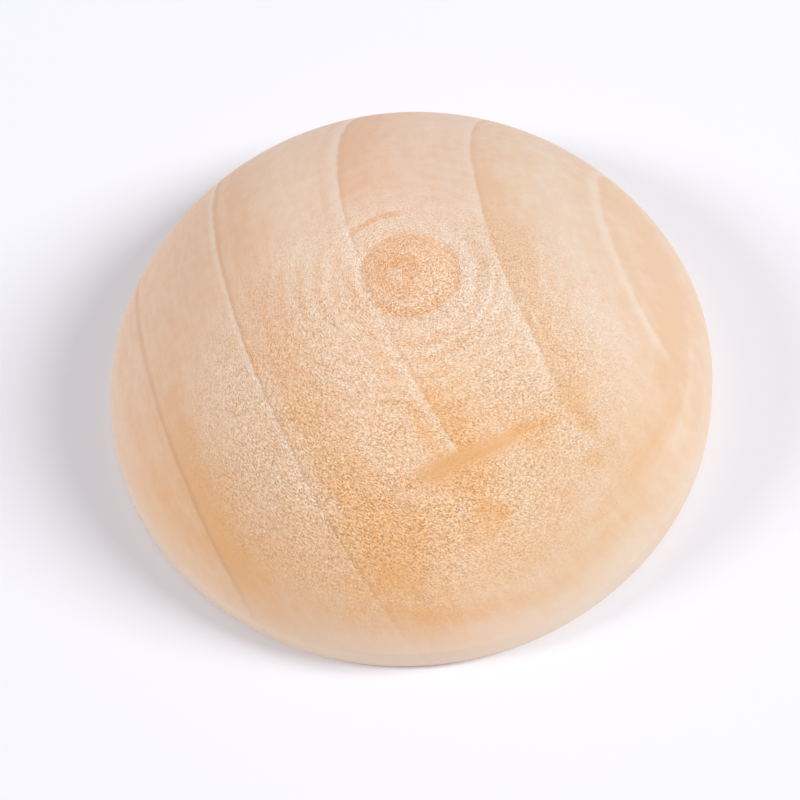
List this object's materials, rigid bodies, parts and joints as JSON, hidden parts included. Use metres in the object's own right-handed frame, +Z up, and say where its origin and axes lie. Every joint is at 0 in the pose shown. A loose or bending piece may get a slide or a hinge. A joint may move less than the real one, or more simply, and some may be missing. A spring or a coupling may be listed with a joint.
{
  "type": "half wooden bead",
  "caption": "Domed half bead turned from pale bare wood, with a flat back for gluing, a short rounded rim band and a shallow ring mark from turning at the crown.",
  "frame": {"origin": "centre of the flat back", "axes": "+Z up from the flat back through the crown of the dome; +X to the right in the picture's view, +Y away from the viewer"},
  "size_m": [0.02, 0.02, 0.0082],
  "materials": {
    "bare_wood": "bare, fine-sanded, unvarnished"
  },
  "bodies": {
    "root": {"half_bead": "bare_wood"}
  },
  "joints": []
}
